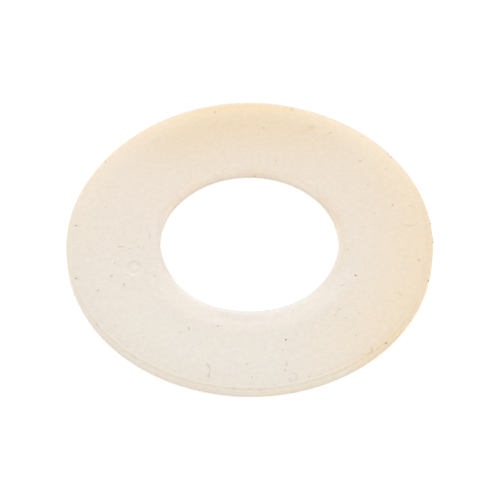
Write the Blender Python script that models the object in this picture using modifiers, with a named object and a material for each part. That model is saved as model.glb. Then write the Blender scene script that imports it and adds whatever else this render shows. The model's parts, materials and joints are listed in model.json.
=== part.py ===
"""Flat gasket for a cistern flush valve, lying flat on its lower face.

The gasket is one moulded ring of translucent silicone rubber. A wide flat face
runs round a bore. The bore and the underside have softened edges. The upper rim
keeps what the mould left there: a low trim lip, a small step down to a ledge,
and a rounded outer edge. A pin that pushed the ring out of its mould left a
shallow round mark in the upper face.

Lengths are in metres, with +Z up. The origin is on the ring's axis, on the plane
that the gasket lies on, and -Y is the side that faces the viewer.
"""

import math

import bmesh
import bpy

MM = 0.001

# Ring
OUTER_RADIUS = 31.5 * MM
BORE_RADIUS = 15.3 * MM
THICKNESS = 1.95 * MM

# Softened edges
BORE_EDGE_RADIUS = 0.45 * MM
LOWER_EDGE_RADIUS = 0.15 * MM
RIM_EDGE_RADIUS = 0.30 * MM

# Upper rim, from the outer wall inwards
LEDGE_WIDTH = 0.08 * MM
STEP_DROP = 0.08 * MM
STEP_WIDTH = 0.14 * MM
LIP_HEIGHT = 0.05 * MM
LIP_SLOPE_WIDTH = 0.18 * MM

# Round mark of the ejector pin
MARK_RADIUS = 1.4 * MM
MARK_DEPTH = 0.12 * MM
MARK_WALL_WIDTH = 0.22 * MM
MARK_SHARE_OF_FACE = 0.33
MARK_ANGLE = math.radians(-161.0)

# Facets
RING_STEPS = 128
BORE_EDGE_STEPS = 4
RIM_EDGE_STEPS = 3
LOWER_EDGE_STEPS = 2
MARK_STEPS = 40
CUTTER_RISE = 0.24 * MM
MERGE_DISTANCE = 0.00001
SMOOTH_ANGLE = math.radians(25)

# Translucent silicone, warm white
SILICONE_COLOUR = (0.84, 0.77, 0.69, 1.0)
SILICONE_ROUGHNESS = 0.42
SILICONE_IOR = 1.41


def clear_scene():
    for thing in list(bpy.data.objects):
        bpy.data.objects.remove(thing, do_unlink=True)


def new_collection(name):
    collection = bpy.data.collections.new(name)
    bpy.context.scene.collection.children.link(collection)
    return collection


def silicone_material():
    material = bpy.data.materials.new("moulded_silicone_rubber")
    material.use_nodes = True
    shader = material.node_tree.nodes["Principled BSDF"]
    shader.inputs["Base Color"].default_value = SILICONE_COLOUR
    shader.inputs["Roughness"].default_value = SILICONE_ROUGHNESS
    shader.inputs["Metallic"].default_value = 0.0
    shader.inputs["IOR"].default_value = SILICONE_IOR
    material.diffuse_color = SILICONE_COLOUR
    return material


def arc(centre, radius, start, end, steps):
    """Points of a circular arc in the section plane, from start to end in degrees."""
    points = []
    for i in range(steps + 1):
        angle = math.radians(start + (end - start) * i / steps)
        across = centre[0] + radius * math.cos(angle)
        up = centre[1] + radius * math.sin(angle)
        points.append((across, up))
    return points


def upper_rim():
    """Trim lip, step and ledge, then the rounded outer edge down to the wall."""
    ledge_height = THICKNESS - STEP_DROP
    edge_centre = (OUTER_RADIUS - RIM_EDGE_RADIUS, ledge_height - RIM_EDGE_RADIUS)
    step_foot = edge_centre[0] - LEDGE_WIDTH
    lip_crest = step_foot - STEP_WIDTH
    face_end = lip_crest - LIP_SLOPE_WIDTH
    lip = [
        (face_end, THICKNESS),
        (lip_crest, THICKNESS + LIP_HEIGHT),
        (step_foot, ledge_height),
    ]
    return lip + arc(edge_centre, RIM_EDGE_RADIUS, 90, 0, RIM_EDGE_STEPS)


def ring_section():
    """The closed section: down the outer wall, in along the underside and up the bore."""
    rim_foot = (OUTER_RADIUS - LOWER_EDGE_RADIUS, LOWER_EDGE_RADIUS)
    bore_foot = (BORE_RADIUS + LOWER_EDGE_RADIUS, LOWER_EDGE_RADIUS)
    bore_mouth = (BORE_RADIUS + BORE_EDGE_RADIUS, THICKNESS - BORE_EDGE_RADIUS)
    return (
        upper_rim()
        + arc(rim_foot, LOWER_EDGE_RADIUS, 0, -90, LOWER_EDGE_STEPS)
        + arc(bore_foot, LOWER_EDGE_RADIUS, 270, 180, LOWER_EDGE_STEPS)
        + arc(bore_mouth, BORE_EDGE_RADIUS, 180, 90, BORE_EDGE_STEPS)
    )


def turned_ring(name, section, collection, material):
    """A closed section at +X turned once round the Z axis."""
    count = len(section)
    edges = [(i, (i + 1) % count) for i in range(count)]
    mesh = bpy.data.meshes.new(name)
    mesh.from_pydata([(across, 0.0, up) for across, up in section], edges, [])
    mesh.materials.append(material)
    ring = bpy.data.objects.new(name, mesh)
    collection.objects.link(ring)
    turn = ring.modifiers.new("turn", "SCREW")
    turn.axis = "Z"
    turn.angle = math.tau
    turn.steps = RING_STEPS
    turn.render_steps = RING_STEPS
    turn.use_merge_vertices = True
    turn.merge_threshold = MERGE_DISTANCE
    turn.use_smooth_shade = True
    return ring


def mark_cutter(collection):
    """A cone frustum whose wall slopes in to the flat floor of the ejector mark."""
    slope = MARK_WALL_WIDTH / MARK_DEPTH
    floor_radius = MARK_RADIUS - MARK_WALL_WIDTH
    height = MARK_DEPTH + CUTTER_RISE
    shape = bmesh.new()
    bmesh.ops.create_cone(
        shape,
        cap_ends=True,
        segments=MARK_STEPS,
        radius1=floor_radius,
        radius2=floor_radius + slope * height,
        depth=height,
    )
    mesh = bpy.data.meshes.new("ejector_mark_cutter")
    shape.to_mesh(mesh)
    shape.free()
    cutter = bpy.data.objects.new("ejector_mark_cutter", mesh)
    from_axis = BORE_RADIUS + MARK_SHARE_OF_FACE * (OUTER_RADIUS - BORE_RADIUS)
    cutter.location = (
        from_axis * math.cos(MARK_ANGLE),
        from_axis * math.sin(MARK_ANGLE),
        THICKNESS - MARK_DEPTH + height / 2,
    )
    cutter.hide_render = True
    cutter.display_type = "WIRE"
    collection.objects.link(cutter)
    return cutter


def cut(target, cutter):
    difference = target.modifiers.new("cut " + cutter.name, "BOOLEAN")
    difference.operation = "DIFFERENCE"
    difference.solver = "EXACT"
    difference.object = cutter


def keep_creases(target):
    """Shades the ring smooth, apart from the edges where two faces meet sharply."""
    target.data.shade_smooth()
    target.data.set_sharp_from_angle(angle=SMOOTH_ANGLE)


def main():
    clear_scene()
    parts = new_collection("flat_gasket")
    cutters = new_collection("cutters")
    ring = turned_ring("flat_gasket", ring_section(), parts, silicone_material())
    keep_creases(ring)
    cut(ring, mark_cutter(cutters))


main()
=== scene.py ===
"""Dresses the flat gasket in moulded silicone and sets it in a plain, pale studio.

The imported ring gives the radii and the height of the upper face. One fine surface
stands for it, with the wavering trim lip, the small nicks and the ejector pin's
mark of a real moulding. Grit and lint lie on its face, as in the photograph.
"""

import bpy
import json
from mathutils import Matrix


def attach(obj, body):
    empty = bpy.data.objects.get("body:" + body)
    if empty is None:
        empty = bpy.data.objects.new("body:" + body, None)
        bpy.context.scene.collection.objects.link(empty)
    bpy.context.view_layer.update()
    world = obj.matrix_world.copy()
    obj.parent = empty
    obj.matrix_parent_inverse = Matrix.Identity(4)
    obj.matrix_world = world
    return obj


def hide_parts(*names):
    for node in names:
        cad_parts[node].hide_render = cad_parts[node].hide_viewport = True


bl_info = {
    "name": "Flat Gasket Looks",
    "version": (1, 0, 0),
    "blender": (4, 5, 0),
    "location": "View3D > Sidebar > Gasket",
    "description": "Builds the moulded silicone surface of a flat gasket and its studio",
    "category": "Object",
}

import json
import math

import bpy
import numpy as np

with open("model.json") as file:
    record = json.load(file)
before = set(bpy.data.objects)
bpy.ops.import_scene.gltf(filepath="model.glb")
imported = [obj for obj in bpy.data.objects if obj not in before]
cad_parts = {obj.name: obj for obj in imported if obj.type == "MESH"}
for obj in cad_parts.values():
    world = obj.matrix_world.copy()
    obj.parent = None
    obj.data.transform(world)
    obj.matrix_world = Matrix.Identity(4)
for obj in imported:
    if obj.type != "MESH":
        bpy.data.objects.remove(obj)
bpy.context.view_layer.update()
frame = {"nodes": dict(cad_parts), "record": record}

MM = 0.001
NODE = "flat_gasket"
BODY = "root"


def cad_points(name):
    """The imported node's vertices as one array, in metres."""
    mesh = frame["nodes"][name].data
    points = np.empty(len(mesh.vertices) * 3)
    mesh.vertices.foreach_get("co", points)
    return points.reshape(-1, 3)


def mount_height(name):
    """How high a mount of the record stands above the gasket's underside."""
    mounts = {m["name"]: m for m in frame["record"]["mounts"]}
    return mounts[name]["pos_m"][2]


CAD_RADII = np.hypot(*cad_points(NODE)[:, :2].T)
OUTER_RADIUS = float(CAD_RADII.max())
BORE_RADIUS = float(CAD_RADII.min())
FACE_HEIGHT = mount_height("upper_face")

# The camera that took the photograph, from the fit to the ring's two outlines
PHOTO_SIZE = 500
CAMERA_ELEVATION = math.radians(51.9)
CAMERA_DISTANCE = 0.400
CAMERA_SENSOR_MM = 36.0
CAMERA_LENS_MM = 167.0
CAMERA_SHIFT = (0.0008, -0.0080)

# Grit on the face: (piece, grain radius, share of it that stands proud, two colours,
# and where the photograph shows each grain, in its pixels)
GRIT = (
    ("black_grit", 0.14 * MM, 0.5, "241F1A", "3C342B", (
        (355.1, 274.9), (285.4, 339.3),
    )),
    ("brown_grit", 0.18 * MM, 0.25, "C1B39D", "CEC1AC", (
        (217.4, 325.6), (75.4, 225.0), (75.7, 277.8), (392.2, 204.4), (254.9, 175.6),
        (386.0, 342.4),
    )),
    ("buried_grit", 0.22 * MM, 0.12, "DDD2C4", "E5DBCE", (
        (286.3, 362.2), (286.2, 364.3), (246.5, 363.5), (149.2, 237.0), (149.4, 234.6),
        (97.6, 289.6), (154.6, 275.9), (308.5, 375.5), (110.9, 275.0), (284.4, 369.2),
        (105.5, 207.0), (129.7, 248.1),
    )),
    ("faint_grit", 0.16 * MM, 0.15, "DED4C6", "E4DBCE", (
        (143.0, 336.5), (251.5, 376.0), (355.5, 334.7), (143.0, 247.0), (138.0, 247.0),
        (114.0, 262.8), (115.0, 325.0), (376.0, 335.0), (105.0, 161.0), (288.5, 378.0),
        (291.0, 380.6), (207.2, 363.6), (208.2, 365.6), (338.3, 308.2), (335.2, 314.4),
        (345.6, 317.6), (359.0, 312.5), (282.0, 349.5), (274.7, 384.4),
    )),
    ("amber_grit", 0.25 * MM, 0.10, "E0CEB3", "E6D4BB", (
        (418.4, 259.5), (359.5, 160.4), (329.6, 132.2), (214.6, 111.5), (367.1, 184.7),
        (263.1, 127.4), (291.2, 109.1),
    )),
    ("faint_amber_grit", 0.17 * MM, 0.12, "E3D4BC", "E8D9C1", (
        (347.8, 248.8), (416.2, 223.0), (374.0, 212.2), (385.7, 168.0), (223.0, 169.5),
        (276.0, 160.0), (425.9, 242.6), (135.8, 356.6),
    )),
)
# Grit caught on the rim's rounded edge: (piece, grain radius, height above the underside,
# two colours, and where the photograph shows each grain)
RIM_GRIT = (
    ("rim_grit", 0.13 * MM, 1.72 * MM, "A9997F", "B9A98F", (
        (432.6, 241.8), (430.1, 223.4),
    )),
    ("rim_dust", 0.13 * MM, 1.72 * MM, "C2B297", "CDBEA5", (
        (428.2, 280.0),
    )),
    ("edge_grit", 0.16 * MM, 1.87 * MM, "D6C5AA", "DDCDB3", (
        (387.6, 154.4), (390.4, 156.6),
    )),
    ("edge_dust", 0.13 * MM, 1.87 * MM, "D9CAB1", "E0D1BA", (
        (95.6, 324.0),
    )),
)

# Lint and scratches: (piece, material, radius, two colours, and the points that each one
# runs through, in the photograph's pixels)
LINT = (
    ("dark_lint", "brown_cotton_lint", 0.035 * MM, "96866F", "A99983", (
        ((124.8, 282.4), (123.7, 283.9), (122.2, 285.8)),
        ((371.5, 346.8), (371.4, 349.4), (371.2, 352.4)),
        ((117.4, 246.6), (119.6, 246.2), (122.6, 246.2)),
        ((339.8, 285.4), (342.0, 284.7), (344.4, 283.8)),
        ((365.6, 354.0), (367.6, 353.2), (370.2, 352.0)),
        ((187.8, 326.2), (188.3, 328.0), (188.9, 329.9)),
    )),
    ("pale_lint", "pale_cotton_lint", 0.030 * MM, "CBBCA6", "D6C8B3", (
        ((207.0, 362.8), (208.2, 365.4), (209.5, 368.4), (209.4, 371.6), (208.7, 373.6),
         (208.9, 376.0), (207.4, 378.6)),
        ((205.4, 375.2), (207.2, 375.3), (209.0, 375.4)),
        ((399.2, 290.8), (399.4, 294.2), (403.2, 295.2)),
        ((361.6, 354.2), (363.4, 354.8), (365.6, 354.0)),
        ((177.6, 331.9), (179.2, 331.9), (180.8, 331.7)),
        ((231.8, 387.7), (233.8, 387.9), (235.4, 388.0)),
        ((260.0, 385.8), (259.9, 388.2), (260.1, 390.4)),
    )),
    ("scratches", "scuffed_silicone", 0.040 * MM, "DFD3C0", "E5DACA", (
        ((335.2, 314.4), (336.4, 311.4), (338.3, 308.2)),
        ((247.8, 388.6), (249.4, 388.8), (251.2, 388.8)),
        ((407.4, 204.4), (409.6, 205.8), (413.6, 205.9)),
        ((401.0, 222.7), (404.5, 224.6), (409.5, 225.3), (413.5, 224.9), (416.7, 223.3)),
        ((289.4, 373.2), (292.2, 372.3), (295.2, 373.6), (296.7, 376.2), (295.8, 378.4),
         (293.0, 378.8)),
    )),
)


class GasketSettings(bpy.types.PropertyGroup):
    """Sizes and colours of the gasket's moulded surface."""

    rim_edge: bpy.props.FloatProperty(
        name="Rim edge",
        description="Radius of the rounded edge between the ledge and the outer wall",
        default=0.30 * MM,
        unit="LENGTH",
        precision=5,
    )
    bore_edge: bpy.props.FloatProperty(
        name="Bore edge",
        description="Radius of the softened edge at the mouth of the bore",
        default=0.45 * MM,
        unit="LENGTH",
        precision=5,
    )
    lower_edge: bpy.props.FloatProperty(
        name="Lower edge",
        description="Radius of the softened edges along the underside",
        default=0.15 * MM,
        unit="LENGTH",
        precision=5,
    )
    ledge_width: bpy.props.FloatProperty(
        name="Ledge width",
        description="Flat width between the step and the rounded rim edge",
        default=0.02 * MM,
        unit="LENGTH",
        precision=5,
    )
    step_width: bpy.props.FloatProperty(
        name="Step width",
        description="Width of the slope from the lip's crest down to the ledge, at its narrowest",
        default=0.10 * MM,
        unit="LENGTH",
        precision=5,
    )
    lip_inset: bpy.props.FloatProperty(
        name="Lip inset",
        description="How much further in the trim lip runs where the mould's halves met askew",
        default=0.08 * MM,
        unit="LENGTH",
        precision=5,
    )
    step_drop: bpy.props.FloatProperty(
        name="Step drop",
        description="How far the ledge lies below the upper face",
        default=0.035 * MM,
        unit="LENGTH",
        precision=5,
    )
    lip_height: bpy.props.FloatProperty(
        name="Lip height",
        description="How far the trim lip stands above the upper face",
        default=0.035 * MM,
        unit="LENGTH",
        precision=5,
    )
    mark_radius: bpy.props.FloatProperty(
        name="Mark radius",
        description="Radius of the ejector pin's mark at the upper face",
        default=1.6 * MM,
        unit="LENGTH",
        precision=5,
    )
    mark_depth: bpy.props.FloatProperty(
        name="Mark depth",
        description="Depth of the ejector pin's mark",
        default=0.20 * MM,
        unit="LENGTH",
        precision=5,
    )
    cream: bpy.props.StringProperty(
        name="Cream",
        description="Silicone colour on the far side of the face, as an sRGB hex value",
        default="EEE0D0",
    )
    pale: bpy.props.StringProperty(
        name="Pale",
        description="Silicone colour on the near side of the face, as an sRGB hex value",
        default="EDE6DC",
    )
    # Amber: partly the rubber's yellowing with age, partly painted glow of light through it
    amber: bpy.props.StringProperty(
        name="Amber",
        description="Aged silicone round the far side of the face, as an sRGB hex value",
        default="EEDABA",
    )
    # Honey: partly the rubber's yellowing with age, partly painted glow of light through it
    honey: bpy.props.StringProperty(
        name="Honey",
        description="Aged silicone towards the right of the rim, as an sRGB hex value",
        default="F2E0C5",
    )
    floor_colour: bpy.props.StringProperty(
        name="Floor",
        description="Colour of the studio floor, as an sRGB hex value",
        default="F4F4F4",
    )
    floor_size: bpy.props.FloatProperty(
        name="Floor size",
        description="Side of the square studio floor",
        default=1.2,
        unit="LENGTH",
    )


def settings():
    """The scene's gasket settings."""
    return bpy.context.scene.gasket_settings


def linear(colour):
    """An sRGB hex value as linear RGB with full alpha."""
    channels = np.array([int(colour[i:i + 2], 16) for i in (0, 2, 4)]) / 255
    low = channels / 12.92
    high = ((channels + 0.055) / 1.055) ** 2.4
    return (*np.where(channels <= 0.04045, low, high).tolist(), 1.0)


def add(tree, kind, inputs=None, **options):
    """Adds a node. options are its own settings; inputs are socket values, or sockets to link."""
    node = tree.nodes.new(kind)
    for name, value in options.items():
        setattr(node, name, value)
    for name, value in (inputs or {}).items():
        if isinstance(value, bpy.types.NodeSocket):
            tree.links.new(value, node.inputs[name])
        else:
            node.inputs[name].default_value = value
    return node


def smoothstep(low, high, value):
    """0 below low and 1 above high, with 3t^2 - 2t^3 between them."""
    t = np.clip((value - low) / (high - low), 0, 1)
    return t * t * (3 - 2 * t)


def bell(value, centre, width):
    """exp(-((value - centre) / width)^2)."""
    return np.exp(-(((value - centre) / width) ** 2))


def turn_between(angle, centre):
    """The signed angle from centre to angle, between -pi and pi."""
    return (angle - centre + math.pi) % math.tau - math.pi


# Mesh code

# Steps in which the running total of a density is worked out
GRADING_SAMPLES = 20000


def graded(start, stop, count, peaks):
    """count values from start to stop, packed closer round each (centre, width, gain).

    The density of values is 1 plus gain times a bell curve round each centre, and
    the values are those at which its running total grows by equal steps.
    """
    t = np.linspace(start, stop, GRADING_SAMPLES)
    density = np.ones_like(t)
    for centre, width, gain in peaks:
        density += gain * bell(t, centre, width)
    steps = (density[1:] + density[:-1]) / 2 * np.diff(t)
    total = np.concatenate([[0], np.cumsum(steps)])
    return np.interp(np.linspace(0, total[-1], count), total, t)


def grid_faces(rows, columns, wrap_rows):
    """Quads of a grid whose columns close round; its last row meets the first if wrap_rows."""
    last = rows if wrap_rows else rows - 1
    i, j = np.meshgrid(np.arange(last), np.arange(columns), indexing="ij")
    below = (i + 1) % rows
    beside = (j + 1) % columns
    corners = [i * columns + j, below * columns + j, below * columns + beside, i * columns + beside]
    return np.stack(corners, axis=-1).reshape(-1, 4)


def capped_faces(rows, columns):
    """Faces of rings joined in order, with a pole vertex before the first and after the last."""
    first, last = rows * columns, rows * columns + 1
    j = np.arange(columns)
    beside = (j + 1) % columns
    start = np.stack([np.full(columns, first), j, beside], axis=-1)
    end_row = (rows - 1) * columns
    end = np.stack([np.full(columns, last), end_row + beside, end_row + j], axis=-1)
    return grid_faces(rows, columns, False), np.concatenate([start, end])


def new_piece(name, points, faces, material):
    """A smooth mesh object at the origin from points (n, 3) and arrays of faces (m, corners)."""
    loops = np.concatenate([f.ravel() for f in faces])
    corners = np.concatenate([np.full(len(f), f.shape[1]) for f in faces])
    mesh = bpy.data.meshes.new(name)
    mesh.vertices.add(len(points))
    mesh.vertices.foreach_set("co", np.ascontiguousarray(points, np.float32).ravel())
    mesh.loops.add(len(loops))
    mesh.loops.foreach_set("vertex_index", loops.astype(np.int32))
    mesh.polygons.add(len(corners))
    mesh.polygons.foreach_set("loop_start", (np.cumsum(corners) - corners).astype(np.int32))
    mesh.update(calc_edges=True)
    mesh.shade_smooth()
    mesh.materials.append(material)
    piece = bpy.data.objects.new(name, mesh)
    bpy.context.scene.collection.objects.link(piece)
    return piece


def on_face(pixels, height=FACE_HEIGHT):
    """Points of the upper face that the photograph shows at these pixels.

    A ray from the camera through each pixel is cut with the plane z = height.
    """
    scale = CAMERA_SENSOR_MM / CAMERA_LENS_MM
    pixels = np.asarray(pixels, float)
    right = (pixels[:, 0] + 0.5) / PHOTO_SIZE - 0.5 + CAMERA_SHIFT[0]
    above = 0.5 - (pixels[:, 1] + 0.5) / PHOTO_SIZE + CAMERA_SHIFT[1]
    sine, cosine = math.sin(CAMERA_ELEVATION), math.cos(CAMERA_ELEVATION)
    rays = np.stack([
        right * scale,
        cosine + above * scale * sine,
        -sine + above * scale * cosine,
    ], axis=-1)
    camera = CAMERA_DISTANCE * np.array([0.0, -cosine, sine])
    reach = (height - camera[2]) / rays[:, 2:]
    return camera + reach * rays


# Moulded surface of the ring

# The ring's grid: columns round the axis, and rows across each stretch of the section
RING_COLUMNS = 860
FACE_ROWS = 72
EDGE_ROWS = 8
LOWER_EDGE_ROWS = 4
WALL_ROWS = 5
UNDERSIDE_ROWS = 4

# How much closer the grid is packed round the mark, the lip and the nicks
MARK_ROW_GAIN = 9.0
LIP_ROW_GAIN = 24.0
LIP_ROW_SPAN = 0.40 * MM
MARK_COLUMN_GAIN = 3.0
NICK_COLUMN_GAIN = 2.0

# The ejector pin's mark and the low pad on its floor. The slope between face and floor
# is widest at the mark's left and right. The pin stood askew: MARK_TILT is the share by
# which the near side is deeper than the middle, and the far side shallower.
MARK_IN_PHOTO = (133.6, 267.6)
MARK_WALL_WIDTH = 0.56 * MM
MARK_SIDE_WALL_WIDTH = 1.10 * MM
MARK_SIDE_POWER = 6
MARK_TILT = 0.55
MARK_TILT_GAIN = 1.35
PAD_IN_PHOTO = (133.6, 267.3)
PAD_HEIGHT = 0.07 * MM
PAD_RADII = (0.15 * MM, 1.10 * MM)

# Slow unevenness of the face: its height, the distances in which its three waves turn by
# one radian, and the shift of the first
FACE_WAVE_HEIGHT = 0.006 * MM
FACE_WAVE_RADIANS = (2.1 * MM, 2.6 * MM, 4.3 * MM)
FACE_WAVE_SHIFT = 0.7

# Waviness of the two outlines: (waves round the ring, height, angle of a crest)
RIM_WAVES = (
    (1, 0.055 * MM, math.radians(-36)),
    (2, 0.017 * MM, math.radians(82)),
    (3, 0.055 * MM, math.radians(-36)),
    (4, 0.041 * MM, math.radians(15)),
    (5, 0.033 * MM, math.radians(28)),
    (6, 0.012 * MM, math.radians(-23)),
)
BORE_WAVES = (
    (0, 0.042 * MM, 0),
    (1, 0.051 * MM, math.radians(139)),
    (2, 0.071 * MM, math.radians(8)),
    (3, 0.012 * MM, math.radians(33)),
    (4, 0.041 * MM, math.radians(43)),
    (5, 0.041 * MM, math.radians(19)),
    (6, 0.011 * MM, math.radians(-8)),
)
# Knob of the bore, and dents and knobs of the rim: (angle, half width, height outwards)
BORE_KNOBS = ((math.radians(204), math.radians(18), -0.165 * MM),)
RIM_NICKS = (
    (math.radians(150), math.radians(7), -0.05 * MM),
    (math.radians(37.5), math.radians(0.55), -0.14 * MM),
    (math.radians(39.0), math.radians(0.7), 0.06 * MM),
    (math.radians(0.6), math.radians(0.35), 0.10 * MM),
    (math.radians(-12.5), math.radians(0.4), 0.08 * MM),
)
# Knots of the trim lip: (angle, half width, share of the lip's height)
LIP_KNOTS = (
    (math.radians(-130.5), math.radians(0.5), 1.6),
    (math.radians(-127.0), math.radians(0.6), 2.0),
    (math.radians(-124.0), math.radians(0.5), 1.4),
    (math.radians(-149.0), math.radians(0.5), 1.2),
)
# Raggedness of the lip: (share of its height, waves round the ring, shift)
LIP_RAGGED = (
    (0.12, 41, 0.0),
    (0.10, 67, 1.3),
)
# Where the lip stands highest, the share that is left of it opposite, and how fast it
# falls between them
LIP_STRONGEST = math.radians(-120)
LIP_FAINTEST_SHARE = 0.25
LIP_FADE_POWER = 1.5
# Its half width, where it runs furthest in, and how fast it comes back out
LIP_WIDTH = 0.15 * MM
LIP_FURTHEST_IN = math.radians(-98)
LIP_INSET_POWER = 5


def waves(angle, terms):
    """The sum of height * cos(count * (angle - crest)) over the terms."""
    return sum(height * np.cos(count * (angle - crest)) for count, height, crest in terms)


def bumps(angle, terms):
    """The sum of bell curves of (angle, half width, height)."""
    return sum(height * bell(turn_between(angle, at), 0, width) for at, width, height in terms)


def lip_share(angle):
    """How much of the trim lip's height is left at each angle: most at the lower left."""
    facing = (1 + np.cos(turn_between(angle, LIP_STRONGEST))) / 2
    ragged = sum(part * np.sin(count * angle + shift) for part, count, shift in LIP_RAGGED)
    share = LIP_FAINTEST_SHARE + (1 - LIP_FAINTEST_SHARE) * facing ** LIP_FADE_POWER
    return share * (1 + ragged) + bumps(angle, LIP_KNOTS)


def arc(centre, radius, start, end, rows):
    """Points of a circular arc in the section plane, from start to end in degrees."""
    angle = np.radians(np.linspace(start, end, rows))
    return centre[0] + radius * np.cos(angle), centre[1] + radius * np.sin(angle)


def ring_section(s):
    """The section's rows, from the bore's mouth out over the face and down round to the bore.

    Returns each row's distance from the axis, its height, and 1 if it lies on the
    upper face or 0 if not. The last value is the distance from the axis at which
    the step meets the ledge.
    """
    ledge = FACE_HEIGHT - s.step_drop
    rim_centre = (OUTER_RADIUS - s.rim_edge, ledge - s.rim_edge)
    foot_centre = (OUTER_RADIUS - s.lower_edge, s.lower_edge)
    bore_foot = (BORE_RADIUS + s.lower_edge, s.lower_edge)
    mouth = (BORE_RADIUS + s.bore_edge, FACE_HEIGHT - s.bore_edge)
    mark = on_face([MARK_IN_PHOTO])[0]
    foot = rim_centre[0] - s.ledge_width
    face = graded(mouth[0], rim_centre[0], FACE_ROWS, (
        (np.hypot(*mark[:2]), s.mark_radius, MARK_ROW_GAIN),
        (foot - s.lip_inset, LIP_ROW_SPAN, LIP_ROW_GAIN),
    ))
    wall = np.linspace(rim_centre[1], foot_centre[1], WALL_ROWS + 2)[1:-1]
    underside = np.linspace(foot_centre[0], bore_foot[0], UNDERSIDE_ROWS + 2)[1:-1]
    bore_wall = np.linspace(bore_foot[1], mouth[1], WALL_ROWS + 2)[1:-1]
    stretches = (
        (face, np.full(FACE_ROWS, FACE_HEIGHT)),
        tuple(v[1:] for v in arc(rim_centre, s.rim_edge, 90, 0, EDGE_ROWS)),
        (np.full(WALL_ROWS, OUTER_RADIUS), wall),
        arc(foot_centre, s.lower_edge, 0, -90, LOWER_EDGE_ROWS),
        (underside, np.zeros(UNDERSIDE_ROWS)),
        arc(bore_foot, s.lower_edge, 270, 180, LOWER_EDGE_ROWS),
        (np.full(WALL_ROWS, BORE_RADIUS), bore_wall),
        tuple(v[:-1] for v in arc(mouth, s.bore_edge, 180, 90, EDGE_ROWS)),
    )
    across = np.concatenate([a for a, _ in stretches])
    up = np.concatenate([u for _, u in stretches])
    on_top = np.concatenate([
        np.ones(FACE_ROWS),
        np.zeros(len(across) - FACE_ROWS),
    ])
    return across, up, on_top, foot


def ring_angles(s):
    """The grid's angles, which start opposite the mark and crowd round it and the nicks."""
    mark = on_face([MARK_IN_PHOTO])[0]
    mark_angle = math.atan2(mark[1], mark[0])
    mark_span = s.mark_radius / np.hypot(*mark[:2])
    peaks = [(mark_angle, mark_span, MARK_COLUMN_GAIN)]
    for at, width, _ in RIM_NICKS:
        peaks.append((mark_angle + turn_between(at, mark_angle), 2 * width, NICK_COLUMN_GAIN))
    return graded(mark_angle - math.pi, mark_angle + math.pi, RING_COLUMNS + 1, peaks)[:-1]


def lip_relief(s, across, angle, foot):
    """The trim lip and the step outside it, as heights above the face.

    The lip is a bell curve across its crest, times lip_share(angle). From the crest
    a smoothstep goes down to the ledge. Round LIP_FURTHEST_IN the crest runs
    further in, by up to lip_inset.
    """
    askew = ((1 + np.cos(turn_between(angle, LIP_FURTHEST_IN))) / 2) ** LIP_INSET_POWER
    crest = foot - s.step_width - s.lip_inset * askew
    step = s.step_drop * smoothstep(crest, foot, across)
    return s.lip_height * bell(across, crest, LIP_WIDTH) * lip_share(angle) - step


def slow_waves(x, y):
    """sin(x / a + shift) sin(y / b) + sin((x + y) / c), for a, b and c in FACE_WAVE_RADIANS."""
    a, b, c = FACE_WAVE_RADIANS
    return np.sin(x / a + FACE_WAVE_SHIFT) * np.sin(y / b) + np.sin((x + y) / c)


def mark_relief(s, x, y):
    """The ejector pin's mark, as a height above the face.

    It is the low pad minus a round smoothstep down to the floor. Depth, pad and the
    slope's width are all multiplied by askew, which grows in proportion to the
    distance towards the near side, up to a limit. The slope widens with the sixth
    power of the share of the distance from the mark's middle that runs sideways.
    """
    mark, pad_centre = on_face([MARK_IN_PHOTO, PAD_IN_PHOTO])
    from_mark = np.hypot(x - mark[0], y - mark[1])
    askew = 1 - MARK_TILT * np.clip(MARK_TILT_GAIN * (y - mark[1]) / s.mark_radius, -1, 1)
    sideways = (np.abs(x - mark[0]) / np.maximum(from_mark, MM)) ** MARK_SIDE_POWER
    wall_width = MARK_WALL_WIDTH + sideways * (MARK_SIDE_WALL_WIDTH - MARK_WALL_WIDTH)
    floor_radius = s.mark_radius - wall_width * askew
    pressed = 1 - smoothstep(floor_radius, s.mark_radius, from_mark)
    pad = 1 - smoothstep(*PAD_RADII, np.hypot(x - pad_centre[0], y - pad_centre[1]))
    return (PAD_HEIGHT * pad - s.mark_depth * pressed) * askew


def ring_surface(s):
    """The ring's points on a grid of section rows and angles.

    Each row is a circle of radius across + share * rim(angle) + (1 - share) *
    bore(angle), where share runs from 0 at the bore to 1 at the rim, and rim and
    bore are waves plus nicks and knobs. The height is the section's, plus the
    relief of lip, slow waves and mark on the upper face.
    """
    across, up, on_top, foot = ring_section(s)
    angle = ring_angles(s)
    share = smoothstep(BORE_RADIUS, OUTER_RADIUS, across)[:, None]
    rim = waves(angle, RIM_WAVES) + bumps(angle, RIM_NICKS)
    bore = waves(angle, BORE_WAVES) + bumps(angle, BORE_KNOBS)
    radius = across[:, None] + share * rim + (1 - share) * bore
    x = radius * np.cos(angle)
    y = radius * np.sin(angle)
    lip = lip_relief(s, across[:, None], angle, foot)
    relief = lip + FACE_WAVE_HEIGHT * slow_waves(x, y) + mark_relief(s, x, y)
    z = up[:, None] + on_top[:, None] * relief
    return np.stack([x, y, z], axis=-1)


# Materials

# The share of a stain's radius inside which it is at full strength
STAIN_CORE = 0.35
# Dry dirt has next to no shine
SPECK_ROUGHNESS = 0.9


def new_material(name, colour, roughness):
    """A material with a Principled shader, and its tree and shader."""
    material = bpy.data.materials.new(name)
    material.use_nodes = True
    tree = material.node_tree
    shader = tree.nodes["Principled BSDF"]
    shader.inputs["Base Color"].default_value = linear(colour)
    shader.inputs["Roughness"].default_value = roughness
    return material, tree, shader


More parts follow.
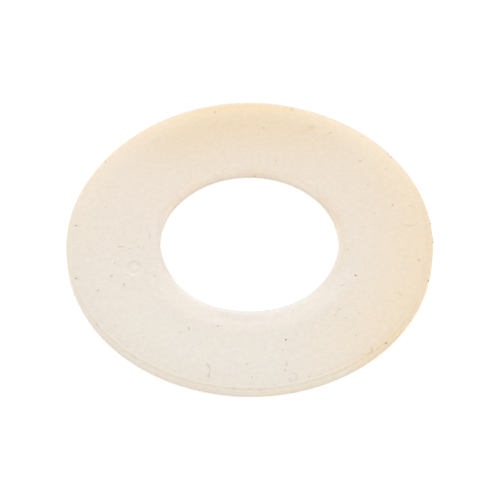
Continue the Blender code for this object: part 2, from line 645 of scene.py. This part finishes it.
def tint_zone(tree, base, colour, place, facing, across):
    """Mixes a colour into base on one side of the ring, over a range of radii.

    facing is (angle in degrees, cosine where the tint starts, cosine where it is
    full). across is the radii in mm where it starts, is full, starts to fade and
    is gone.
    """
    heading = math.radians(facing[0])
    towards = add(tree, "ShaderNodeVectorMath", {
        0: place["direction"], 1: (math.cos(heading), math.sin(heading), 0),
    }, operation="DOT_PRODUCT")
    side = add(tree, "ShaderNodeMapRange", {
        "Value": towards.outputs["Value"], "From Min": facing[1], "From Max": facing[2],
    }, interpolation_type="SMOOTHSTEP")
    rise = add(tree, "ShaderNodeMapRange", {
        "Value": place["radius"], "From Min": across[0] * MM, "From Max": across[1] * MM,
        "To Max": side.outputs["Result"],
    }, interpolation_type="SMOOTHSTEP")
    fall = add(tree, "ShaderNodeMapRange", {
        "Value": place["radius"], "From Min": across[2] * MM, "From Max": across[3] * MM,
        "To Min": rise.outputs["Result"], "To Max": 0.0,
    }, interpolation_type="SMOOTHSTEP")
    mixed = add(tree, "ShaderNodeMix", {
        0: fall.outputs["Result"], 6: base, 7: linear(colour),
    }, data_type="RGBA")
    return mixed.outputs[2]


def tint_zones(tree, base, place, zones):
    """Mixes the colours of zones into base, one over another, as tint_zone does."""
    for colour, facing, across in zones:
        base = tint_zone(tree, base, colour, place, facing, across)
    return base


def tint_below(tree, base, colour, place, heights, across):
    """Mixes a colour into base below a height and on one side of a radius.

    heights is where it is full and where it is gone, and across is the radii where
    it starts and is full, all in mm.
    """
    low = add(tree, "ShaderNodeMapRange", {
        "Value": place["height"], "From Min": heights[0] * MM, "From Max": heights[1] * MM,
        "To Min": 1.0, "To Max": 0.0,
    }, interpolation_type="SMOOTHSTEP")
    here = add(tree, "ShaderNodeMapRange", {
        "Value": place["radius"], "From Min": across[0] * MM, "From Max": across[1] * MM,
        "To Max": low.outputs["Result"],
    })
    mixed = add(tree, "ShaderNodeMix", {
        0: here.outputs["Result"], 6: base, 7: colour,
    }, data_type="RGBA")
    return mixed.outputs[2]


def stain(tree, base, colour, where, centre, radius, strength):
    """Mixes a colour into base round one point of the face, by strength, fading out at radius."""
    away = add(tree, "ShaderNodeVectorMath", {
        0: where, 1: tuple(centre),
    }, operation="DISTANCE")
    near = add(tree, "ShaderNodeMapRange", {
        "Value": away.outputs["Value"], "From Min": radius * STAIN_CORE, "From Max": radius,
        "To Min": strength, "To Max": 0.0,
    }, interpolation_type="SMOOTHSTEP")
    mixed = add(tree, "ShaderNodeMix", {
        0: near.outputs["Result"], 6: base, 7: linear(colour),
    }, data_type="RGBA")
    return mixed.outputs[2]


# Radii in mm for a tint with no inner end, with no outer end, and with neither
FROM_BORE = (1, 2)
TO_RIM = (40, 41)
ALL_ACROSS = FROM_BORE + TO_RIM
# Where the settings' amber and honey lie, partly the rubber's yellowing with age and partly painted
# glow of light through it: (facing, across)
AMBER_ZONE = ((93.5, 0.59, 1.05), (14, 30) + TO_RIM)
HONEY_ZONE = ((-7, 0.21, 1.05), (16, 33) + TO_RIM)
# Tints of the face, of the bore's wall and of the rim's wall, each laid over those before
# it: (sRGB hex value, facing, across), with facing and across as in tint_zone
FACE_TINTS = (
    # Painted glow of light through the thin far rim, lighter towards it, with a painted amber
    # highlight band inside it, and browner at the right
    ("FDEBD1", (105, -0.22, 0.59), (26.2, 33) + TO_RIM),
    ("F8E1BE", (92, 0.92, 0.99), (29.0, 30.0, 30.4, 31.3)),
    ("EEDDC3", (-25, 0.60, 0.95), (29.9, 30.6) + TO_RIM),
    # Painted highlight, pale and cool, where the near half turns over into the bore and faces the
    # light from behind
    ("F3EAE0", (271, 0.23, 0.80), FROM_BORE + (17.9, 20.4)),
    ("F3EFE8", (271, 0.25, 0.80), FROM_BORE + (15.8, 16.8)),
    ("EEE7DF", (264, 0.95, 0.995), (15.9, 16.4, 17.0, 17.8)),
    ("E8E7E5", (277, 0.45, 0.90), FROM_BORE + (15.55, 15.85)),
    # Painted shade, duller, along the rim at the lower left
    ("E9E1D5", (223, -0.46, 1.05), (25, 32.7) + TO_RIM),
    # The bore's mouth, from the right round by the far side to the lower right
    ("EDE1CE", (0, 0.7, 1.0), FROM_BORE + (16.0, 17.6)),
    ("EEDDCB", (25, 0.94, 0.995), FROM_BORE + (16.0, 16.9)),
    ("EEDED0", (155, 0.94, 0.995), FROM_BORE + (16.0, 16.7)),
    ("F4E5D3", (120, 0.90, 0.98), FROM_BORE + (15.8, 16.2)),
    ("E8E0D6", (188, 0.85, 0.98), FROM_BORE + (15.7, 16.1)),
    ("ECE4DA", (-25, 0.90, 0.985), FROM_BORE + (15.9, 16.4)),
    # Painted shade in the crease at the step's foot at the lower left, and the rim's edge at the
    # right and the far side
    ("EBE2D3", (225, 0.3, 1.0), (31.0, 31.2, 31.35, 31.6)),
    ("F3DEC2", (-26, 0.75, 0.97), (31.0, 31.3) + TO_RIM),
    ("F3E6D6", (95, 0.25, 0.55), (30.7, 31.05) + TO_RIM),
)
# The walls' colours and the bore's foot are painted lighter than the face: painted light that comes
# into them through the rubber, against the shade that falls on them
BORE_WALL_COLOUR = "FEF0DF"
BORE_WALL_TINTS = (
    ("FCEAD7", (86, 0.95, 0.99), ALL_ACROSS),
    ("FCECD8", (128, 0.86, 0.97), ALL_ACROSS),
    ("EEE7DE", (188, 0.85, 0.98), ALL_ACROSS),
    ("F1E9DF", (-20, 0.88, 0.985), ALL_ACROSS),
    ("F8E6D2", (25, 0.94, 0.995), ALL_ACROSS),
    ("E4E3E1", (270, 0.10, 0.80), ALL_ACROSS),
)
BORE_FOOT_COLOUR = "F8E9D8"
RIM_WALL_COLOUR = "FAEEDF"
RIM_WALL_TINTS = (
    ("F1E4D0", (85, -0.05, 0.35), ALL_ACROSS),
    ("E6D7C0", (12, 0.94, 0.99), ALL_ACROSS),
    ("FCE6C6", (-32, 0.85, 0.985), ALL_ACROSS),
    ("F4EADD", (205, 0.75, 0.97), ALL_ACROSS),
    ("F6EBDE", (256, 0.96, 0.998), ALL_ACROSS),
    ("F9ECDA", (287, 0.96, 0.995), ALL_ACROSS),
)
# Heights between which the walls' colours take over, and radii beyond which they do, in mm
BORE_MOUTH_HEIGHTS = (1.78, 1.95)
BORE_FOOT_HEIGHTS = (0.3, 1.1)
RIM_EDGE_HEIGHTS = (1.68, 1.92)
BORE_SIDE = (20, 19.9)
RIM_SIDE = (26, 26.1)

# Stains of the face: (sRGB hex value, place in the photograph's pixels, radius, strength)
STAINS = (
    ("E6CBA4", (311.0, 127.5), 1.1 * MM, 0.45),
    ("F7EFE8", MARK_IN_PHOTO, 1.4 * MM, 0.3),
)

# The direction in degrees towards which the face turns from cream to pale
PALE_DIRECTION = 259

# Silicone rubber's satin skin and how strongly it bends light, the share of the light that
# goes in, and how far the red, green and blue of it get
RUBBER_ROUGHNESS = 0.45
RUBBER_IOR = 1.41
SUBSURFACE_SHARE = 0.3
SUBSURFACE_COLOURS = (1.0, 0.8, 0.55)
SUBSURFACE_DEPTH = 1.0 * MM

# The values between which a noise texture mostly stays
NOISE_SPAN = (0.3, 0.7)
# Mottling of the milky rubber, and the darkest and lightest shade that it gives a colour
MOTTLE_SIZE = 1.0 * MM
MOTTLE_DETAIL = 3.0
MOTTLE_FINENESS = 1.0
MOTTLE_SHADES = (0.957, 1.043)
# Grain that the mould left on the skin, drawn as coarse as it needs to show, and the
# roughness that it wanders between
SKIN_GRAIN = 0.45 * MM
SKIN_DETAIL = 2.0
SKIN_FINENESS = 0.6
SKIN_ROUGHNESS = (0.40, 0.52)
SKIN_BUMP = 0.5
SKIN_DEPTH = 0.03 * MM


def silicone_place(tree, where):
    """Sockets for the distance from the ring's axis, the direction away from it and the height."""
    flat = add(tree, "ShaderNodeVectorMath", {0: where, 1: (1, 1, 0)}, operation="MULTIPLY")
    radius = add(tree, "ShaderNodeVectorMath", {0: flat.outputs[0]}, operation="LENGTH")
    direction = add(tree, "ShaderNodeVectorMath", {0: flat.outputs[0]}, operation="NORMALIZE")
    height = add(tree, "ShaderNodeSeparateXYZ", {"Vector": where}).outputs["Z"]
    return {
        "radius": radius.outputs["Value"],
        "direction": direction.outputs[0],
        "height": height,
    }


def silicone_colour(tree, where):
    """Cream on the far side to pale on the near side, with tints, walls and stains over it. Some
    tints are painted glow, highlight and shade, and the walls are painted lighter as light through
    the rubber.
    """
    s = settings()
    place = silicone_place(tree, where)
    heading = math.radians(PALE_DIRECTION)
    slope = add(tree, "ShaderNodeVectorMath", {
        0: where, 1: (math.cos(heading), math.sin(heading), 0),
    }, operation="DOT_PRODUCT")
    near = add(tree, "ShaderNodeMapRange", {
        "Value": slope.outputs["Value"], "From Min": -OUTER_RADIUS, "From Max": OUTER_RADIUS,
    }, interpolation_type="SMOOTHSTEP")
    colour = add(tree, "ShaderNodeMix", {
        0: near.outputs["Result"], 6: linear(s.cream), 7: linear(s.pale),
    }, data_type="RGBA").outputs[2]
    # Amber and honey tints: partly yellowing with age, partly painted glow of light through the
    # rubber
    yellowing_and_glow = ((s.amber, *AMBER_ZONE), (s.honey, *HONEY_ZONE))
    colour = tint_zones(tree, colour, place, yellowing_and_glow + FACE_TINTS)
    bore_wall = tint_zones(tree, linear(BORE_WALL_COLOUR), place, BORE_WALL_TINTS)
    rim_wall = tint_zones(tree, linear(RIM_WALL_COLOUR), place, RIM_WALL_TINTS)
    bore_foot = linear(BORE_FOOT_COLOUR)
    # The walls take over here, painted lighter than the face as light through the rubber
    colour = tint_below(tree, colour, bore_wall, place, BORE_MOUTH_HEIGHTS, BORE_SIDE)
    colour = tint_below(tree, colour, bore_foot, place, BORE_FOOT_HEIGHTS, BORE_SIDE)
    colour = tint_below(tree, colour, rim_wall, place, RIM_EDGE_HEIGHTS, RIM_SIDE)
    for stain_colour, pixel, radius, strength in STAINS:
        centre = on_face([pixel])[0]
        colour = stain(tree, colour, stain_colour, where, centre, radius, strength)
    return colour


def silicone():
    """Moulded silicone rubber: a milky, waxy white that lets a little light in.

    Its satin skin shows only soft, wide reflections. Its amber cast, deepest at the far side and
    the right of the rim, is partly yellowing with age and partly painted glow of light through the
    rubber.
    """
    material, tree, shader = new_material(
        "moulded_silicone_rubber", settings().cream, RUBBER_ROUGHNESS)
    shader.inputs["IOR"].default_value = RUBBER_IOR
    shader.inputs["Subsurface Weight"].default_value = SUBSURFACE_SHARE
    shader.inputs["Subsurface Radius"].default_value = SUBSURFACE_COLOURS
    shader.inputs["Subsurface Scale"].default_value = SUBSURFACE_DEPTH

    where = add(tree, "ShaderNodeTexCoord").outputs["Object"]
    cloud = add(tree, "ShaderNodeTexNoise", {
        "Vector": where, "Scale": 1 / MOTTLE_SIZE, "Detail": MOTTLE_DETAIL,
        "Roughness": MOTTLE_FINENESS,
    })
    shade = add(tree, "ShaderNodeMapRange", {
        "Value": cloud.outputs["Fac"], "From Min": NOISE_SPAN[0], "From Max": NOISE_SPAN[1],
        "To Min": MOTTLE_SHADES[0], "To Max": MOTTLE_SHADES[1],
    })
    mottled = add(tree, "ShaderNodeHueSaturation", {
        "Color": silicone_colour(tree, where), "Value": shade.outputs["Result"],
    })
    tree.links.new(mottled.outputs["Color"], shader.inputs["Base Color"])

    grain = add(tree, "ShaderNodeTexNoise", {
        "Vector": where, "Scale": 1 / SKIN_GRAIN, "Detail": SKIN_DETAIL,
        "Roughness": SKIN_FINENESS,
    })
    gloss = add(tree, "ShaderNodeMapRange", {
        "Value": grain.outputs["Fac"], "From Min": NOISE_SPAN[0], "From Max": NOISE_SPAN[1],
        "To Min": SKIN_ROUGHNESS[0], "To Max": SKIN_ROUGHNESS[1],
    })
    tree.links.new(gloss.outputs["Result"], shader.inputs["Roughness"])
    bump = add(tree, "ShaderNodeBump", {
        "Height": grain.outputs["Fac"], "Strength": SKIN_BUMP, "Distance": SKIN_DEPTH,
    })
    tree.links.new(bump.outputs["Normal"], shader.inputs["Normal"])
    return material


def speck_material(name, dark, light, patch):
    """Dry, dull dirt, fluff or scuffing, whose colour wanders in patches between two shades."""
    material, tree, shader = new_material(name, dark, SPECK_ROUGHNESS)
    where = add(tree, "ShaderNodeTexCoord").outputs["Object"]
    noise = add(tree, "ShaderNodeTexNoise", {"Vector": where, "Scale": 1 / patch})
    mixed = add(tree, "ShaderNodeMix", {
        0: noise.outputs["Fac"], 6: linear(dark), 7: linear(light),
    }, data_type="RGBA")
    tree.links.new(mixed.outputs[2], shader.inputs["Base Color"])
    return material


# Grit and lint

# The grid of one grain
GRIT_RINGS = 5
GRIT_SIDES = 10
GRIT_SEED = 11
# Random sizes, as shares of a grain's radius, and random stretches
GRIT_SIZES = (0.9, 1.1)
GRIT_STRETCHES = (0.85, 1.2)
# Size of the lighter patches in a grain
GRIT_SHADE_SIZE = 0.08 * MM
# Grit on the rounded edge stands as high as it is wide
RIM_GRIT_PROUD = 1.0
# The grid of a piece of lint: steps between two of its points, and sides of its profile
LINT_STEPS = 9
LINT_SIDES = 6
# The part of the taper's half wave that a piece of lint runs through
LINT_ENDS = (0.04, 0.96)
# Size of the lighter patches along a fibre
LINT_SHADE_SIZE = 0.15 * MM


def grit_points(places, radius, proud):
    """Low oval grains, sunk to their waist in the face.

    A grain at place p with radius a is p plus (a w sin v cos u, a sin v sin u / w,
    a h cos v), for u round the grain and v from pole to pole, turned by a random
    angle, with a random stretch w near 1. h is the share that stands proud.
    """
    random = np.random.default_rng(GRIT_SEED)
    count = len(places)
    radii = radius * random.uniform(*GRIT_SIZES, count)
    stretch = random.uniform(*GRIT_STRETCHES, count)[:, None, None]
    turn = random.uniform(0, math.pi, count)[:, None, None]
    v = np.linspace(0, math.pi, GRIT_RINGS + 2)[1:-1][None, :, None]
    u = np.linspace(0, math.tau, GRIT_SIDES, endpoint=False)[None, None, :]
    size = radii[:, None, None]
    long = size * stretch * np.sin(v) * np.cos(u)
    wide = size / stretch * np.sin(v) * np.sin(u)
    x = long * np.cos(turn) - wide * np.sin(turn)
    y = long * np.sin(turn) + wide * np.cos(turn)
    z = np.broadcast_to(size * proud * np.cos(v), x.shape)
    rings = np.stack([x, y, z], axis=-1).reshape(count, -1, 3)
    poles = np.zeros((count, 2, 3))
    poles[:, 0, 2] = radii * proud
    poles[:, 1, 2] = -radii * proud
    return np.concatenate([rings, poles], axis=1) + places[:, None, :]


def repeated_faces(faces, count, stride):
    """The same faces for count copies whose vertices follow each other by stride."""
    shift = (np.arange(count) * stride)[:, None, None]
    return [(f[None] + shift).reshape(-1, f.shape[1]) for f in faces]


def smooth_path(points, steps):
    """A Catmull-Rom curve through the points, with its first and last points doubled."""
    p = np.concatenate([points[:1], points, points[-1:]])
    t = np.linspace(0, 1, steps, endpoint=False)[:, None]
    spans = [
        0.5 * (2 * b + (c - a) * t + (2 * a - 5 * b + 4 * c - d) * t ** 2
               + (3 * b - 3 * c + d - a) * t ** 3)
        for a, b, c, d in zip(p[:-3], p[1:-2], p[2:-1], p[3:])
    ]
    return np.concatenate([*spans, points[-1:]])


def lint_points(path, radius):
    """A round profile carried along a flat path, tapering as sqrt(sin) towards both ends."""
    along = np.gradient(path, axis=0)
    along /= np.linalg.norm(along, axis=1, keepdims=True)
    side = np.stack([-along[:, 1], along[:, 0], np.zeros(len(along))], axis=-1)
    share = np.linspace(*LINT_ENDS, len(path))
    thick = (radius * np.sqrt(np.sin(math.pi * share)))[:, None, None]
    u = np.linspace(0, math.tau, LINT_SIDES, endpoint=False)[None, :, None]
    rings = path[:, None, :] + thick * (
        np.cos(u) * side[:, None, :] + np.sin(u) * np.array([0.0, 0.0, 1.0])
    )
    return np.concatenate([rings.reshape(-1, 3), path[:1], path[-1:]])


# Operators


class GASKET_OT_ring(bpy.types.Operator):
    """Build the moulded silicone ring in place of the plain one"""

    bl_idname = "gasket.ring"
    bl_label = "Moulded Ring"

    def execute(self, context):
        grid = ring_surface(settings())
        rows, columns = grid.shape[:2]
        faces = grid_faces(rows, columns, True)
        ring = new_piece("moulded_ring", grid.reshape(-1, 3), [faces], silicone())
        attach(ring, BODY)
        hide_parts(NODE)
        return {"FINISHED"}


class GASKET_OT_grit(bpy.types.Operator):
    """Scatter the grit that the photographed face carries"""

    bl_idname = "gasket.grit"
    bl_label = "Grit"

    def execute(self, context):
        for name, radius, proud, dark, light, pixels in GRIT:
            self.scatter(name, on_face(pixels), radius, proud, dark, light)
        for name, radius, height, dark, light, pixels in RIM_GRIT:
            self.scatter(name, on_face(pixels, height), radius, RIM_GRIT_PROUD, dark, light)
        return {"FINISHED"}

    def scatter(self, name, places, radius, proud, dark, light):
        """One piece of grit, with a grain at each of the places."""
        points = grit_points(places, radius, proud)
        one_grain = capped_faces(GRIT_RINGS, GRIT_SIDES)
        faces = repeated_faces(one_grain, len(places), points.shape[1])
        material = speck_material("mineral_" + name, dark, light, GRIT_SHADE_SIZE)
        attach(new_piece(name, points.reshape(-1, 3), faces, material), BODY)


class GASKET_OT_lint(bpy.types.Operator):
    """Lay the lint and the short scratches on the face"""

    bl_idname = "gasket.lint"
    bl_label = "Lint"

    def execute(self, context):
        for name, stuff, radius, dark, light, paths in LINT:
            points, quads, triangles, start = [], [], [], 0
            for pixels in paths:
                path = smooth_path(on_face(pixels), LINT_STEPS)
                hair = lint_points(path, radius)
                four, three = capped_faces(len(path), LINT_SIDES)
                points.append(hair)
                quads.append(four + start)
                triangles.append(three + start)
                start += len(hair)
            faces = [np.concatenate(quads), np.concatenate(triangles)]
            material = speck_material(stuff, dark, light, LINT_SHADE_SIZE)
            lint = new_piece(name, np.concatenate(points), faces, material)
            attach(lint, BODY)
        return {"FINISHED"}


# Studio

# A low, wide light from behind the ring, and an even white light from all round
SUN_STRENGTH = 0.65
SUN_ELEVATION = math.radians(25)
SUN_SPREAD = math.radians(25)
WORLD_LIGHT = 0.892
WHITE = (1, 1, 1, 1)
# Matt paper just below the ring
PAPER_GLOW = 0.30
PAPER_ROUGHNESS = 0.95
FLOOR_HEIGHT = -0.02 * MM
CLIP_START = 0.01


def seen_directly(tree):
    """1 for rays that show a thing: from the camera, a reflection or through glass."""
    path = add(tree, "ShaderNodeLightPath")
    first = add(tree, "ShaderNodeMath", {
        0: path.outputs["Is Camera Ray"], 1: path.outputs["Is Glossy Ray"],
    }, operation="MAXIMUM")
    return add(tree, "ShaderNodeMath", {
        0: first.outputs[0], 1: path.outputs["Is Transmission Ray"],
    }, operation="MAXIMUM").outputs[0]


class GASKET_OT_stage(bpy.types.Operator):
    """Set up the pale floor, the soft light and the photograph's camera"""

    bl_idname = "gasket.stage"
    bl_label = "Studio"

    def execute(self, context):
        scene = context.scene
        scene.view_settings.view_transform = "Standard"
        self.floor(settings())
        self.world(scene)
        self.sun(scene)
        self.camera(scene)
        return {"FINISHED"}

    def floor(self, s):
        """Matt paper, whose own faint glow takes it to a clean, even white."""
        half = s.floor_size / 2
        flat = [(-half, -half), (half, -half), (half, half), (-half, half)]
        corners = np.array([(x, y, FLOOR_HEIGHT) for x, y in flat])
        material, tree, shader = new_material("matt_studio_paper", s.floor_colour, PAPER_ROUGHNESS)
        shader.inputs["Emission Color"].default_value = WHITE
        shader.inputs["Specular IOR Level"].default_value = 0.0
        glow = add(tree, "ShaderNodeMath", {
            0: seen_directly(tree), 1: PAPER_GLOW,
        }, operation="MULTIPLY")
        tree.links.new(glow.outputs[0], shader.inputs["Emission Strength"])
        floor = new_piece("studio_floor", corners, [np.array([[0, 1, 2, 3]])], material)

    def world(self, scene):
        """White all round, at full strength only where it is seen."""
        world = bpy.data.worlds.new("studio")
        world.use_nodes = True
        tree = world.node_tree
        background = tree.nodes["Background"]
        background.inputs["Color"].default_value = WHITE
        strength = add(tree, "ShaderNodeMapRange", {
            "Value": seen_directly(tree), "To Min": WORLD_LIGHT, "To Max": 1.0,
        })
        tree.links.new(strength.outputs["Result"], background.inputs["Strength"])
        scene.world = world

    def sun(self, scene):
        """A wide, soft light from behind the ring."""
        light = bpy.data.lights.new("soft_key", "SUN")
        light.energy = SUN_STRENGTH
        light.angle = SUN_SPREAD
        sun = bpy.data.objects.new("soft_key", light)
        sun.rotation_euler = (SUN_ELEVATION - math.pi / 2, 0, 0)
        scene.collection.objects.link(sun)

    def camera(self, scene):
        """The photograph's camera, which looks at the ring's middle from the near side."""
        lens = bpy.data.cameras.new("photo_camera")
        lens.lens = CAMERA_LENS_MM
        lens.sensor_width = CAMERA_SENSOR_MM
        lens.shift_x, lens.shift_y = CAMERA_SHIFT
        lens.clip_start = CLIP_START
        camera = bpy.data.objects.new("photo_camera", lens)
        camera.location = (
            0,
            -CAMERA_DISTANCE * math.cos(CAMERA_ELEVATION),
            CAMERA_DISTANCE * math.sin(CAMERA_ELEVATION),
        )
        camera.rotation_euler = (math.pi / 2 - CAMERA_ELEVATION, 0, 0)
        scene.collection.objects.link(camera)
        scene.camera = camera


class GASKET_PT_panel(bpy.types.Panel):
    """Lists the gasket's settings and its operators"""

    bl_idname = "GASKET_PT_panel"
    bl_label = "Flat Gasket"
    bl_space_type = "VIEW_3D"
    bl_region_type = "UI"
    bl_category = "Gasket"

    def draw(self, context):
        layout = self.layout
        for name in GasketSettings.__annotations__:
            layout.prop(context.scene.gasket_settings, name)
        for operator in OPERATORS:
            layout.operator(operator.bl_idname)


OPERATORS = (GASKET_OT_ring, GASKET_OT_grit, GASKET_OT_lint, GASKET_OT_stage)
CLASSES = (GasketSettings, *OPERATORS, GASKET_PT_panel)


def register():
    """Registers the classes, with the settings on the scene."""
    for item in CLASSES:
        bpy.utils.register_class(item)
    bpy.types.Scene.gasket_settings = bpy.props.PointerProperty(type=GasketSettings)


def unregister():
    """Takes the settings and the classes away."""
    del bpy.types.Scene.gasket_settings
    for item in reversed(CLASSES):
        bpy.utils.unregister_class(item)


def main():
    """Builds the pieces and the studio."""
    register()
    bpy.ops.gasket.ring()
    bpy.ops.gasket.grit()
    bpy.ops.gasket.lint()
    bpy.ops.gasket.stage()


if __name__ == "__main__":
    main()
